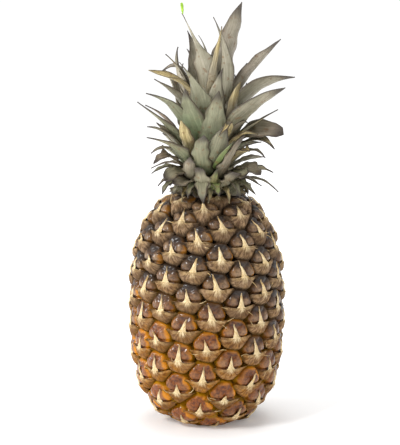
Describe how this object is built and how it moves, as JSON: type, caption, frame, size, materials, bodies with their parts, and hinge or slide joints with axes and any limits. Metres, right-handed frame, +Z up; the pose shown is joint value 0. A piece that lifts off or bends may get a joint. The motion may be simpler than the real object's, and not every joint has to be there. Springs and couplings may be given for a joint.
{
  "type": "pineapple",
  "caption": "Whole ripe pineapple standing on its flat cut base: a barrel-shaped fruit covered with spiralling eyes and curved spines, topped by a leafy crown",
  "frame": {"origin": "centre of the flat cut base, where the fruit rests", "axes": "+Z up along the fruit's axis, -Y is the front seen in the picture, +X to the viewer's right"},
  "size_m": [0.13, 0.131, 0.3373],
  "materials": {
    "rind": "waxy, rough in the seams",
    "leaf": "dull, fibrous"
  },
  "bodies": {
    "root": {"fruit": "rind", "crown": "leaf"}
  },
  "joints": []
}
